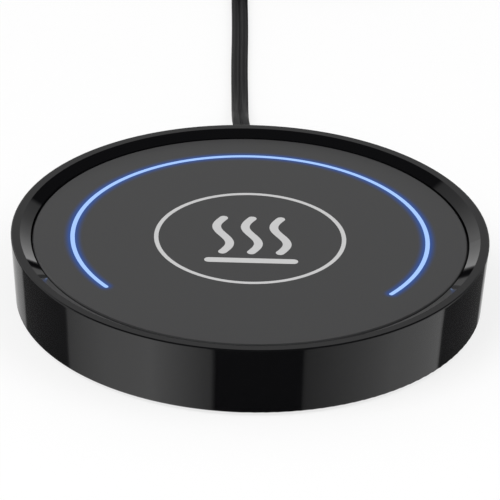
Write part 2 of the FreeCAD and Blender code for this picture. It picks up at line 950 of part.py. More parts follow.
def least_coil_gap(edges):
    samples = 24
    frames = wind_frames(edges, samples)
    half = (lead_width - lead_thickness) / 2
    shares = [-1.0, -0.5, 0.0, 0.5, 1.0]
    cores = [[point + side * (half * share) for share in shares] for point, side in frames]
    least = 1e9
    for first in range(len(cores)):
        for second in range(first + samples, len(cores)):
            if (frames[first][0] - frames[second][0]).Length < 2 * lead_width:
                near = min((a - b).Length for a in cores[first] for b in cores[second])
                least = min(least, near)
    return least - lead_thickness


def report_tube(name, solid, wire, radii):
    expected = flat_area() * wire.Length
    print(name, "length", round(wire.Length, 1), "radii", [round(radius, 1) for radius in radii],
          "volume", round(solid.Volume, 1), "of", round(expected, 1), "valid", solid.isValid())


def power_cord():
    points = lead_route()
    wire, radii = route_wire(points)
    solid = flat_tube(wire, points[0], relief_direction())
    report_tube("power_cord", solid, wire, radii)
    return solid


def cord_coil():
    edges, _ = coil_edges()
    wire = Part.Wire(edges)
    solid = flat_tube(wire, coil_lead_in(), Vector(0, 1, 0))
    inward, middle, outward = half_turn_radii()
    report_tube("cord_coil", solid, wire, inward + [middle] + outward)
    print("cord_coil least gap to itself", round(least_coil_gap(edges), 2))
    return solid


def end_headings():
    return [180, 176, 160, 142, 125, 110]


def end_route():
    # From the coil's end, over the lead, round to the plug
    _, start = coil_edges()
    runs = [13.0, 11.0, 10.0, 9.0, 9.0, 8.0]
    level = plug_axis_height()
    heights = [start.z, start.z + loose_gap, start.z + 3 * loose_gap, level - loose_gap, level, level]
    points = [start]
    for heading, run, height in zip(end_headings(), runs, heights):
        x, y = on_circle(run, heading)
        points.append(Vector(points[-1].x + x, points[-1].y + y, height))
    return points


def plug_axis_height():
    return plug_height / 2 + fit_gap


def cord_end():
    points = end_route()
    wire, radii = route_wire(points)
    solid = flat_tube(wire, points[0], Vector(-1, 0, 0))
    report_tube("cord_end", solid, wire, radii)
    return solid


def coil_tie():
    # A flat strap round one side of the winding, lying on the table
    right = coil_left + 2 * coil_first_radius
    left = right - coil_pitch * coil_inward_turns
    inner_low = tie_thickness
    inner_high = coil_height() + layer_rise + lead_thickness / 2 + tie_top_gap + coil_tilt_rise()
    inner_left = left - lead_width / 2 - tie_side_gap
    inner_right = right + lead_width / 2 + tie_side_gap
    middle_x = (inner_left + inner_right) / 2
    hollow = block(inner_right - inner_left, tie_width, inner_low, inner_high, middle_x, coil_row)
    outer = block(inner_right - inner_left + 2 * tie_thickness, tie_width, 0, inner_high + tie_thickness,
                  middle_x, coil_row)
    return outer.cut(hollow)


def coil_tilt_rise():
    _, middle, _ = half_turn_radii()
    tilt = 2 * math.atan(layer_rise / (2 * middle))
    return (lead_width - lead_thickness) / 2 * math.sin(tilt)


def placed_plug(shape):
    shape.rotate(axis_point, up, end_headings()[-1] - 90)
    shape.translate(end_route()[-1])
    return shape


def blade_shapes():
    front = plug_tail_length + plug_length
    shapes = []
    for side, width in ((-1, blade_narrow), (1, blade_wide)):
        blade = Part.makeBox(blade_thickness, blade_root + blade_length, width)
        left = side * blade_spacing / 2 - blade_thickness / 2
        blade.translate(Vector(left, front - blade_root, -width / 2))
        shapes.append(blade)
    return shapes


def plug_body():
    tail_start = rounded_outline(plug_tail_width, plug_tail_height, plug_tail_height / 3, 0)
    tail_end = rounded_outline(plug_neck_width, plug_neck_height, plug_neck_height / 3, plug_tail_length)
    tail = Part.makeLoft([tail_start, tail_end], True, True)
    head = Part.makeBox(plug_width, plug_length, plug_height,
                        Vector(-plug_width / 2, plug_tail_length, -plug_height / 2))
    head = head.makeFillet(plug_round, head.Edges)
    body = joined([tail, head]).cut(blade_shapes())
    return placed_plug(body)


def plug_blades():
    return placed_plug(Part.makeCompound(blade_shapes()))


def save(name, shape):
    solids = shape.Solids
    if len(solids) == 1:
        shape = solids[0]
    print(name, "solids", len(solids), "valid", shape.isValid(), "volume", round(shape.Volume, 1))
    shape.exportStep("parts/" + name + ".step")


makers = [
    housing_shell, base_cover, housing_screws, glass_plate, silicone_bead, plate_carrier,
    light_guide, light_strip, strip_lights, heat_spreader, heating_element, element_terminals,
    insulation_pad, backing_disc, backing_screws, temperature_sensor, thermal_fuse, fuse_clip,
    microswitch_body, microswitch_plunger, control_board, board_screws, relay, film_capacitor,
    smoothing_capacitor, control_chip, board_fuse, terminal_block, cord_relief, lead_inner,
    cord_clamp, clamp_screws, heater_wires, fuse_lead, sensor_wires, light_wires, switch_wires,
    power_cord, cord_coil, coil_tie, cord_end, plug_body, plug_blades,
]
for maker in makers:
    save(maker.__name__, maker())
for number, angle in enumerate(corner_angles, 1):
    save("rubber_foot_" + str(number), rubber_foot(angle))
for number, angle in enumerate(spring_angles, 1):
    save("return_spring_" + str(number), return_spring(angle))
save("live_wire", mains_wire(1))
save("neutral_wire", mains_wire(-1))
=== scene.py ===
import math

import bmesh
import bpy
from mathutils import Matrix, Vector


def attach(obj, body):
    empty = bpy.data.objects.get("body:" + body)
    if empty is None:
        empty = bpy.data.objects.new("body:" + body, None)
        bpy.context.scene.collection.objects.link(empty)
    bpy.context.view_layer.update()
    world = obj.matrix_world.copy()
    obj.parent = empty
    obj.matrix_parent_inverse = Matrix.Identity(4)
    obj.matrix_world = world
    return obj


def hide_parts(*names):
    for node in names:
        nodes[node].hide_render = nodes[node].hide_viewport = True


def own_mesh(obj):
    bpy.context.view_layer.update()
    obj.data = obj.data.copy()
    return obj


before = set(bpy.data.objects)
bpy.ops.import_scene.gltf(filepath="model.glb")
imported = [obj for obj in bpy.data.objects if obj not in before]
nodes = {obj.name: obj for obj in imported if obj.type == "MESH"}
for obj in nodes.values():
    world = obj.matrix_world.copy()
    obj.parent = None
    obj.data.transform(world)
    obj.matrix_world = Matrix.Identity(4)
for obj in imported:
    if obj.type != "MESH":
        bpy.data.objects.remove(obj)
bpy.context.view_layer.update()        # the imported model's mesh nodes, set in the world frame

# Electric mug warmer, in the frame of the solids. The dictionaries give lengths
# in millimetres, apart from the studio's, which are in metres.

mm = 0.001
arcRadius = 44.5          # the lit arc, in millimetres
scene = bpy.context.scene
print("frame loaded with", len(nodes), "nodes")

# Where a colour mix node keeps its sockets.
mixShare, mixFirst, mixSecond, mixResult = 0, 6, 7, 2


# A colour gets its alpha here, and a number stays as it is.
def forSocket(value):
    return (*value, 1.0) if isinstance(value, tuple) else value


def addNode(tree, kind, x, y):
    made = tree.nodes.new(kind)
    made.location = (x, y)
    return made


# Links a socket to the input, or sets the input to a plain value.
def feed(tree, socket, value):
    if isinstance(value, bpy.types.NodeSocket):
        tree.links.new(value, socket)
    else:
        socket.default_value = value


def addMix(tree, share, first, second, x, y):
    made = addNode(tree, "ShaderNodeMix", x, y)
    made.data_type = "RGBA"
    feed(tree, made.inputs[mixShare], share)
    feed(tree, made.inputs[mixFirst], first)
    feed(tree, made.inputs[mixSecond], second)
    return made.outputs[mixResult]


# The camera of the photograph: a long lens, from the front and above.

camera = {
    "lens": 360.0,
    "sensor": 36.0,
    "place": (0.0414, -1104.678, 609.667),
    "pitch": 28.334,      # degrees below the horizon
    "roll": 1.5,          # degrees, clockwise in the picture
    "near": 50.0,
    "far": 20000.0,
}


def makeCamera():
    data = bpy.data.cameras.new("studioCamera")
    data.lens = camera["lens"]
    data.sensor_width = camera["sensor"]
    data.clip_start = camera["near"] * mm
    data.clip_end = camera["far"] * mm
    shown = bpy.data.objects.new("studioCamera", data)
    scene.collection.objects.link(shown)
    tilt = Matrix.Rotation(math.radians(90.0 - camera["pitch"]), 4, "X")
    roll = Matrix.Rotation(math.radians(camera["roll"]), 4, "Z")
    shown.matrix_world = Matrix.Translation(Vector(camera["place"]) * mm) @ tilt @ roll
    scene.camera = shown


makeCamera()
print("camera set")


# The lead is one flat twin cord: a free stretch, a round coil put away
# behind the picture's edge, and a short end to the plug.

lead = {
    "lobe": 2.4,          # each of the two cores
    "pitch": 2.2,         # between their middles
    "waist": 0.55,        # half the height of the web between them
    "lobeSteps": 14,      # straight edges round each core
    "lineSteps": 6,       # steps along the line between control points
    "length": 1178.0,
    "width": 4.6,
    "exit": (-2.194, 79.081, 4.9),
    "freeStretch": [
        (-3.291, 88.013, 4.9), (-3.6, 98.0, 2.4), (-3.8, 110.0, 1.25),
        (-4.2, 129.0, 1.25), (-4.3, 153.0, 1.25), (-4.9, 178.0, 1.35),
        (-5.0, 198.4, 1.8),
    ],
    "shortEnd": [
        (9.8, 185.6, 5.1), (-1.173, 186.367, 5.3), (-10.57, 189.787, 5.7),
        (-17.662, 195.328, 6.15), (-22.824, 202.7, 6.35), (-25.56, 210.218, 6.35),
    ],
}

# The coil crosses the line y = row here, one half turn after another.
coil = {
    "row": 218.0,
    "crossings": [-5.0, 65.0, 0.2, 59.8, 5.4, 54.6, 10.6, 49.4, 5.4, 54.6, 0.2, 59.8],
    "climb": 6,           # the half turn that climbs to the upper layer
    "lower": 1.8,
    "upper": 5.1,
    "perHalf": 8,         # control points on each half turn
    "lastX": 27.4,        # middle of the last quarter turn
}


def coilPoints():
    points = []
    step = math.pi / coil["perHalf"]
    reach = 1.0 / math.cos(step / 2)
    for turn, start in enumerate(coil["crossings"]):
        last = turn == len(coil["crossings"]) - 1
        end = 2 * coil["lastX"] - start if last else coil["crossings"][turn + 1]
        middle = (start + end) / 2
        radius = abs(start - end) / 2 * reach
        side = 1.0 if end > start else -1.0     # right over the back, left over the front
        count = coil["perHalf"] // 2 if last else coil["perHalf"]
        for k in range(count):
            angle = (k + 0.5) * step
            climbed = (k + 0.5) / coil["perHalf"]
            rise = climbed if turn == coil["climb"] else float(turn > coil["climb"])
            points.append((
                middle - side * radius * math.cos(angle),
                coil["row"] + side * radius * math.sin(angle),
                coil["lower"] + rise * (coil["upper"] - coil["lower"]),
            ))
    return points


# The lead's figure-of-eight section, as a hidden closed curve.
def makeProfile():
    shape = bpy.data.curves.new("leadSection", "CURVE")
    shape.dimensions = "2D"
    half = lead["pitch"] / 2
    radius = lead["lobe"] / 2
    opening = math.asin(lead["waist"] / radius)
    count = lead["lobeSteps"]
    points = []
    for side in (1.0, -1.0):
        for k in range(count + 1):
            angle = -(math.pi - opening) + 2 * (math.pi - opening) * k / count
            points.append((side * (half + radius * math.cos(angle)), side * radius * math.sin(angle)))
    line = shape.splines.new("POLY")
    line.points.add(len(points) - 1)
    for spot, (x, y) in zip(line.points, points):
        spot.co = (x, y, 0.0, 1.0)          # millimetres: the lead's radius scales it
    line.use_cyclic_u = True
    shown = bpy.data.objects.new("leadSection", shape)
    scene.collection.objects.link(shown)
    shown.hide_render = True
    shown.hide_viewport = True
    return shown


# One spline for the whole lead, with its section swept along it.
def makeLead():
    shape = bpy.data.curves.new("leadLine", "CURVE")
    shape.dimensions = "3D"
    shape.twist_mode = "Z_UP"
    shape.resolution_u = lead["lineSteps"]
    shape.bevel_mode = "OBJECT"
    shape.bevel_object = makeProfile()
    shape.use_fill_caps = True
    route = [lead["exit"], *lead["freeStretch"], *coilPoints(), *lead["shortEnd"]]
    line = shape.splines.new("NURBS")
    line.points.add(len(route) - 1)
    for spot, point in zip(line.points, route):
        spot.co = (*(c * mm for c in point), 1.0)
        spot.radius = mm
    line.order_u = 3
    line.use_endpoint_u = True
    shown = bpy.data.objects.new("power_lead", shape)
    scene.collection.objects.link(shown)
    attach(shown, "housing")
    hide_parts("power_cord", "cord_coil", "cord_end")
    return shown


powerLead = makeLead()
print("lead laid")


# Shader groups. Their lengths are in millimetres, and they read the piece's
# own coordinates, so that a grain keeps its size on every piece.


# Builds one shader node group, a node at a time.
class Group:

    def __init__(self, name, inputs, outputs):
        self.tree = bpy.data.node_groups.new(name, "ShaderNodeTree")
        for label, value in inputs.items():
            kind = "NodeSocketColor" if isinstance(value, tuple) else "NodeSocketFloat"
            socket = self.tree.interface.new_socket(label, in_out="INPUT", socket_type=kind)
            socket.default_value = forSocket(value)
        for label in outputs:
            kind = "NodeSocketColor" if label == "Colour" else "NodeSocketFloat"
            self.tree.interface.new_socket(label, in_out="OUTPUT", socket_type=kind)
        self.given = self.tree.nodes.new("NodeGroupInput")
        self.result = self.tree.nodes.new("NodeGroupOutput")

    def take(self, label):
        return self.given.outputs[label]

    def give(self, label, socket):
        self.tree.links.new(socket, self.result.inputs[label])

    def node(self, kind, **settings):
        made = self.tree.nodes.new("ShaderNode" + kind)
        for key, value in settings.items():
            setattr(made, key, value)
        return made

    def feed(self, socket, value):
        feed(self.tree, socket, value)

    def maths(self, operation, first, second=0.0, third=0.0):
        made = self.node("Math", operation=operation)
        for socket, value in zip(made.inputs, (first, second, third)):
            self.feed(socket, value)
        return made.outputs[0]

    def coordinates(self):
        return self.node("TexCoord").outputs["Object"]

    def stretched(self, vector, scale):
        made = self.node("VectorMath", operation="MULTIPLY")
        self.feed(made.inputs[0], vector)
        self.feed(made.inputs[1], scale)
        return made.outputs[0]

    # A noise whose features are about size millimetres wide.
    def noise(self, vector, size, detail=2.0, rough=0.5):
        made = self.node("TexNoise")
        self.feed(made.inputs["Vector"], vector)
        self.feed(made.inputs["Scale"], self.maths("DIVIDE", 1.0 / mm, size))
        made.inputs["Detail"].default_value = detail
        made.inputs["Roughness"].default_value = rough
        return made.outputs["Fac"]

    def between(self, value, low, high, toLow=0.0, toHigh=1.0):
        made = self.node("MapRange", interpolation_type="SMOOTHSTEP")
        for socket, given in zip(made.inputs, (value, low, high, toLow, toHigh)):
            self.feed(socket, given)
        return made.outputs["Result"]

    def mix(self, share, first, second):
        return addMix(self.tree, share, first, second, 0, 0)

    # The colour made lighter or darker by amount, which is 1 for no change.
    def shaded(self, colour, amount):
        made = self.node("HueSaturation")
        self.feed(made.inputs["Value"], amount)
        self.feed(made.inputs["Color"], colour)
        return made.outputs["Color"]


# Moulded or pressed surfaces: a fine grain and slow clouds in shade and gloss.
def makeMouldedGroup():
    inputs = {
        "Tint": (0.5, 0.5, 0.5), "Shade": 0.1, "Roughness": 0.4, "Spread": 0.05,
        "Grain": 0.3, "Cloud": 9.0,
    }
    grainShare, cloudShare = 0.45, 0.55
    g = Group("mouldedSurface", inputs, ["Colour", "Roughness", "Height"])
    here = g.coordinates()
    grain = g.noise(here, g.take("Grain"), 3.0)
    cloud = g.noise(here, g.take("Cloud"), 2.0)
    both = g.maths("ADD", g.maths("MULTIPLY", grain, grainShare), g.maths("MULTIPLY", cloud, cloudShare))
    centred = g.maths("SUBTRACT", both, 0.5)
    value = g.maths("MULTIPLY_ADD", centred, g.take("Shade"), 1.0)
    g.give("Colour", g.shaded(g.take("Tint"), value))
    rough = g.maths("MULTIPLY_ADD", g.maths("SUBTRACT", cloud, 0.5), g.take("Spread"), g.take("Roughness"))
    g.give("Roughness", rough)
    g.give("Height", grain)
    return g.tree


# Hairline scratches and faint wiping marks on gloss surfaces.
def makeMarksGroup():
    inputs = {"Roughness": 0.05, "Smudge": 0.04, "Scratch": 0.08, "Size": 18.0}
    hairSize, patchSize = 0.35, 7.0
    g = Group("handlingMarks", inputs, ["Roughness", "Height"])
    here = g.coordinates()
    cloud = g.between(g.noise(here, g.take("Size"), 3.0, 0.6), 0.45, 0.75)
    hairs = []
    for scale in ((1.0, 0.06, 1.0), (0.08, 1.0, 0.9)):
        streak = g.noise(g.stretched(here, scale), hairSize, 1.0)
        hairs.append(g.between(streak, 0.70, 0.74))
    hair = g.maths("MAXIMUM", *hairs)
    patch = g.between(g.noise(here, patchSize, 1.0), 0.5, 0.62)
    hair = g.maths("MULTIPLY", hair, patch)
    rough = g.maths("MULTIPLY_ADD", cloud, g.take("Smudge"), g.take("Roughness"))
    g.give("Roughness", g.maths("MULTIPLY_ADD", hair, g.take("Scratch"), rough))
    g.give("Height", hair)
    return g.tree


# Metal with fine working lines along x, and slight dulling.
def makeBrushedGroup():
    inputs = {
        "Tint": (0.6, 0.6, 0.6), "Shade": 0.15, "Roughness": 0.3, "Spread": 0.12,
        "Line": 0.12, "Length": 0.03,
    }
    dullSize = 6.0
    g = Group("workedMetal", inputs, ["Colour", "Roughness", "Height"])
    here = g.coordinates()
    along = g.node("CombineXYZ")
    g.feed(along.inputs[0], g.take("Length"))
    along.inputs[1].default_value = 1.0
    along.inputs[2].default_value = 1.0
    lines = g.noise(g.stretched(here, along.outputs[0]), g.take("Line"), 3.0)
    cloud = g.noise(here, dullSize, 3.0)
    centred = g.maths("SUBTRACT", g.maths("MULTIPLY", g.maths("ADD", lines, cloud), 0.5), 0.5)
    g.give("Colour", g.shaded(g.take("Tint"), g.maths("MULTIPLY_ADD", centred, g.take("Shade"), 1.0)))
    g.give("Roughness", g.maths("MULTIPLY_ADD", centred, g.take("Spread"), g.take("Roughness")))
    g.give("Height", lines)
    return g.tree


# Flakes or fibres of two tones, for mica, felt and braided sleeve.
def makeFleckedGroup():
    inputs = {
        "Light": (0.8, 0.8, 0.8), "Dark": (0.5, 0.5, 0.5), "Size": 1.0,
        "Roughness": 0.7, "Spread": 0.1,
    }
    g = Group("fleckedSheet", inputs, ["Colour", "Roughness", "Height"])
    here = g.coordinates()
    cells = g.node("TexVoronoi", feature="F1")
    g.feed(cells.inputs["Vector"], here)
    g.feed(cells.inputs["Scale"], g.maths("DIVIDE", 1.0 / mm, g.take("Size")))
    tone = g.between(cells.outputs["Distance"], 0.15, 0.8)
    strands = g.noise(g.stretched(here, (1.0, 0.3, 1.0)), g.take("Size"), 4.0, 0.7)
    both = g.maths("MULTIPLY", g.maths("ADD", tone, strands), 0.5)
    g.give("Colour", g.mix(both, g.take("Light"), g.take("Dark")))
    g.give("Roughness", g.maths("MULTIPLY_ADD", both, g.take("Spread"), g.take("Roughness")))
    g.give("Height", both)
    return g.tree


# A circuit board's tracks and pads under its lacquer.
def makeTracksGroup():
    inputs = {
        "Board": (0.03, 0.22, 0.08), "Track": (0.07, 0.36, 0.13),
        "Pad": (0.6, 0.6, 0.58), "Step": 2.5,
    }
    lacquerRoughness, padSmoother = 0.38, -0.1
    g = Group("boardTracks", inputs, ["Colour", "Roughness", "Height"])
    here = g.coordinates()
    bricks = g.node("TexBrick", offset=0.5, squash=1.0)
    g.feed(bricks.inputs["Vector"], here)
    g.feed(bricks.inputs["Scale"], g.maths("DIVIDE", 0.5 / mm, g.take("Step")))
    bricks.inputs["Mortar Size"].default_value = 0.05
    bricks.inputs["Mortar Smooth"].default_value = 0.1
    track = bricks.outputs["Fac"]
    cells = g.node("TexVoronoi", feature="F1")
    g.feed(cells.inputs["Vector"], here)
    g.feed(cells.inputs["Scale"], g.maths("DIVIDE", 1.0 / mm, g.take("Step")))
    pad = g.between(cells.outputs["Distance"], 0.2, 0.24, 1.0, 0.0)
    lacquer = g.mix(track, g.take("Board"), g.take("Track"))
    g.give("Colour", g.mix(pad, lacquer, g.take("Pad")))
    g.give("Roughness", g.maths("MULTIPLY_ADD", pad, padSmoother, lacquerRoughness))
    g.give("Height", g.maths("MAXIMUM", track, pad))
    return g.tree


# The glow beside the light arc, painted on the glass as emission: full at its radius, gone at the fade's
# width.
def makePaintedGlowGroup():
    inputs = {
        "PaintedGlow": (0.01, 0.06, 0.26), "Radius": arcRadius,
        "Half": 0.65, "Fade": 3.0, "Opening": 52.0,
    }
    falloff = 1.8
    g = Group("paintedArcGlow", inputs, ["Colour", "Mask"])
    parts = g.node("SeparateXYZ")
    g.feed(parts.inputs[0], g.coordinates())
    x, y = parts.outputs[0], parts.outputs[1]
    square = g.maths("MULTIPLY_ADD", x, x, g.maths("MULTIPLY", y, y))
    radius = g.maths("DIVIDE", g.maths("SQRT", square), mm)
    away = g.maths("ABSOLUTE", g.maths("SUBTRACT", radius, g.take("Radius")))
    angle = g.maths("ABSOLUTE", g.maths("ARCTAN2", x, g.maths("MULTIPLY", y, -1.0)))
    opening = g.maths("RADIANS", g.take("Opening"))
    past = g.maths("MULTIPLY", g.maths("SUBTRACT", opening, angle), radius)
    past = g.maths("MAXIMUM", past, 0.0)
    reach = g.maths("SQRT", g.maths("MULTIPLY_ADD", away, away, g.maths("MULTIPLY", past, past)))
    share = g.maths("DIVIDE", g.maths("SUBTRACT", reach, g.take("Half")), g.take("Fade"))
    near = g.maths("SUBTRACT", 1.0, g.between(share, 0.0, 1.0))
    soft = g.maths("POWER", near, falloff)
    g.give("Colour", g.mix(soft, (0.0, 0.0, 0.0, 1.0), g.take("PaintedGlow")))
    g.give("Mask", soft)
    return g.tree


groups = {
    "moulded": makeMouldedGroup(),
    "marks": makeMarksGroup(),
    "worked": makeBrushedGroup(),
    "flecked": makeFleckedGroup(),
    "tracks": makeTracksGroup(),
    "paintedGlow": makePaintedGlowGroup(),
}
print("shader groups built")


# A Principled material: the look's effect group gives colour, roughness and height.
def makeFinish(name, look):
    made = bpy.data.materials.new(name)
    made.use_nodes = True
    tree = made.node_tree
    shader = tree.nodes["Principled BSDF"]
    for label, value in look.get("shader", {}).items():
        shader.inputs[label].default_value = forSocket(value)
    effect = addNode(tree, "ShaderNodeGroup", -560, 200)
    effect.node_tree = groups[look["effect"]]
    for label, value in look["values"].items():
        effect.inputs[label].default_value = forSocket(value)
    if "Colour" in effect.outputs.keys():
        tree.links.new(effect.outputs["Colour"], shader.inputs["Base Color"])
    tree.links.new(effect.outputs["Roughness"], shader.inputs["Roughness"])
    bump = addNode(tree, "ShaderNodeBump", -260, -200)
    bump.inputs["Strength"].default_value = look.get("bump", 0.1)
    bump.inputs["Distance"].default_value = look.get("depth", 0.02) * mm
    tree.links.new(effect.outputs["Height"], bump.inputs["Height"])
    tree.links.new(bump.outputs["Normal"], shader.inputs["Normal"])
    made.diffuse_color = (*look.get("shown", (0.1, 0.1, 0.1)), 1.0)
    return made


# Gives each of these nodes the finish, in place of its own.
def dress(finish, *names):
    for name in names:
        if not nodes[name].material_slots:
            nodes[name].data.materials.append(finish)
        for slot in nodes[name].material_slots:
            slot.material = finish


# The housing: black, high gloss, with the faintest marks of handling.

glossBlack = makeFinish("glossBlack", {
    "effect": "marks",
    "values": {"Roughness": 0.02, "Smudge": 0.015, "Scratch": 0.05, "Size": 22.0},
    "shader": {"Base Color": (0.0045, 0.0045, 0.005), "IOR": 1.5},
    "bump": 0.03,
    "depth": 0.003,
    "shown": (0.01, 0.01, 0.012),
})
dress(glossBlack, "housing_shell")


# The plate: dark satin glass, printed black below, with the arc's glow painted on it as emission and a
# painted dark blue tint under that glow.

plate = {
    "top": 17.5,
    "values": {
        "Tint": (0.034, 0.034, 0.035), "Shade": 0.18, "Roughness": 0.36,
        "Spread": 0.05, "Grain": 0.16, "Cloud": 26.0,
    },
    "paintedGlow": {
        "PaintedGlow": (0.0, 0.050, 0.26), "Radius": arcRadius, "Half": 0.4, "Fade": 2.5, "Opening": 52.5,
    },
    # The plate's colour where the painted glow lies: a painted dark blue tint.
    "paintedGlowTint": (0.002, 0.006, 0.02),
}


def makePlateGlass():
    made = makeFinish("plateGlass", {
        "effect": "moulded",
        "values": plate["values"],
        "shader": {"IOR": 1.5, "Emission Strength": 1.0},
        "bump": 0.12,
        "depth": 0.006,
        "shown": (0.04, 0.04, 0.04),
    })
    tree = made.node_tree
    # Painted glow: the glass itself gives off blue light round the arc, and its colour is tinted dark blue
    # there.
    paintedGlow = addNode(tree, "ShaderNodeGroup", -560, -420)
    paintedGlow.node_tree = groups["paintedGlow"]
    for label, value in plate["paintedGlow"].items():
        paintedGlow.inputs[label].default_value = forSocket(value)
    shader = tree.nodes["Principled BSDF"]
    tree.links.new(paintedGlow.outputs["Colour"], shader.inputs["Emission Color"])
    colour = tree.nodes["Group"].outputs["Colour"]
    under = addMix(tree, paintedGlow.outputs["Mask"], colour, forSocket(plate["paintedGlowTint"]), -300, 300)
    tree.links.new(under, shader.inputs["Base Color"])
    return made


dress(makePlateGlass(), "glass_plate")
print("housing and plate dressed")


# Print and light on the plate: thin layers on its top face.

graphics = {
    "layer": 0.02,
    "ringRadius": 23.55,
    "ringWidth": 1.1,
    "lineRadius": arcRadius,
    "lineWidth": 1.1,
    "opening": 52.0,      # degrees each side of the front
    "lineBase": (0.01, 0.02, 0.05),
    "steps": 240,
    "symbolMiddle": (0.4, -1.4),
    "barLength": 21.0,
    "barWidth": 2.4,
    "barDrop": -10.6,
    "barSteps": 12,
    "waveGap": 7.2,
    "waveLow": -6.2,
    "waveHigh": 11.6,
    "waveSwing": 1.7,
    "waveWidth": 2.2,
    "waveSteps": 48,
    "capSteps": 10,
}


# The two edges of a flat ribbon along a line of (x, y) points, with round ends unless it closes.
def ribbon(line, width, cyclic=False):
    half = width / 2
    left, right = [], []
    last = len(line) - 1
    for k, (x, y) in enumerate(line):
        before = line[k - 1] if k or cyclic else line[0]
        after = line[(k + 1) % len(line)] if k < last or cyclic else line[last]
        along = Vector((after[0] - before[0], after[1] - before[1])).normalized()
        left.append((x - along.y * half, y + along.x * half))
        right.append((x + along.y * half, y - along.x * half))
    if cyclic:
        return left, right
    count = graphics["capSteps"]
    turns = [math.pi / 2 - math.pi * k / count for k in range(1, count)]
    caps = []
    for tip, other in ((line[last], line[last - 1]), (line[0], line[1])):
        heading = math.atan2(tip[1] - other[1], tip[0] - other[0])
        caps.append([
            (tip[0] + half * math.cos(heading + t), tip[1] + half * math.sin(heading + t)) for t in turns
        ])
    return left + caps[0], right[::-1] + caps[1]


# A printed layer: each outline is a closed loop, or a pair for a closed band.
def layer(name, outlines, finish):
    mesh = bpy.data.meshes.new(name)
    shape = bmesh.new()
    low = plate["top"] * mm
    for outline, inner in outlines:
        outer = [shape.verts.new((x * mm, y * mm, low)) for x, y in outline]
        if inner is None:
            shape.faces.new(outer)
        else:
            within = [shape.verts.new((x * mm, y * mm, low)) for x, y in inner]
            for k in range(len(outer)):
                after = (k + 1) % len(outer)
                shape.faces.new((outer[k], outer[after], within[after], within[k]))
    bmesh.ops.recalc_face_normals(shape, faces=shape.faces)
    for face in shape.faces:
        if face.normal.z < 0:
            face.normal_flip()
    raised = bmesh.ops.extrude_face_region(shape, geom=shape.faces[:])
    moved = [v for v in raised["geom"] if isinstance(v, bmesh.types.BMVert)]
    bmesh.ops.translate(shape, verts=moved, vec=(0.0, 0.0, graphics["layer"] * mm))
    bmesh.ops.recalc_face_normals(shape, faces=shape.faces)
    shape.to_mesh(mesh)
    shape.free()
    shown = bpy.data.objects.new(name, mesh)
    scene.collection.objects.link(shown)
    mesh.materials.append(finish)
    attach(shown, "heating_plate")
    return shown


def circle(radius, low=0.0, high=360.0, closed=True):
    count = graphics["steps"]
    total = count if closed else count + 1
    turns = [math.radians(low + (high - low) * k / count) for k in range(total)]
    return [(radius * math.cos(t), radius * math.sin(t)) for t in turns]


printGrey = makeFinish("printGrey", {
    "effect": "moulded",
    "values": {
        "Tint": (0.56, 0.56, 0.56), "Shade": 0.10, "Roughness": 0.55,
        "Spread": 0.08, "Grain": 0.12, "Cloud": 5.0,
    },
    "bump": 0.1,
    "depth": 0.004,
    "shown": (0.6, 0.6, 0.6),
})


def makePrintedRing():
    left, right = ribbon(circle(graphics["ringRadius"]), graphics["ringWidth"], cyclic=True)
    layer("printed_ring", [(right, left)], printGrey)


# A plain sign for heat: three waves over a bar.
def makePrintedSymbol():
    cx, cy = graphics["symbolMiddle"]
    half = graphics["barLength"] / 2
    outlines = []
    count = graphics["barSteps"]
    bar = [(cx - half + 2 * half * k / count, cy + graphics["barDrop"]) for k in range(count + 1)]
    outlines.append(ribbon(bar, graphics["barWidth"]))
    rise = graphics["waveHigh"] - graphics["waveLow"]
    for column in (-1, 0, 1):
        wave = []
        for k in range(graphics["waveSteps"] + 1):
            share = k / graphics["waveSteps"]
            swing = graphics["waveSwing"] * math.sin(2 * math.pi * share)
            wave.append((cx + column * graphics["waveGap"] + swing, cy + graphics["waveLow"] + rise * share))
        outlines.append(ribbon(wave, graphics["waveWidth"]))
    layer("printed_symbol", [(a + b, None) for a, b in outlines], printGrey)


makePrintedRing()
makePrintedSymbol()


# The lit line over the light guide.
def makeLightLine():
    made = makeFinish("litArc", {
        "effect": "moulded",
        "values": {
            "Tint": (0.36, 0.56, 0.97), "Shade": 0.05, "Roughness": 0.4,
            "Spread": 0.05, "Grain": 0.3, "Cloud": 8.0,
        },
        "shader": {"Emission Strength": 1.0},
        "shown": (0.4, 0.6, 1.0),
    })
    tree = made.node_tree
    shader = tree.nodes["Principled BSDF"]
    tree.links.remove(shader.inputs["Base Color"].links[0])
    shader.inputs["Base Color"].default_value = forSocket(graphics["lineBase"])
    tree.links.new(tree.nodes["Group"].outputs["Colour"], shader.inputs["Emission Color"])
    low = graphics["opening"] - 90.0
    line = circle(graphics["lineRadius"], low, 180.0 - low, closed=False)
    left, right = ribbon(line, graphics["lineWidth"])
    layer("light_line", [(left + right, None)], made)


makeLightLine()
print("print and light laid on the plate")


# Moulded plastics and rubbers, each with its own tint and grain. The gloss is
# the strength of the reflection, where it isn't the usual one.

usualGloss = 0.5

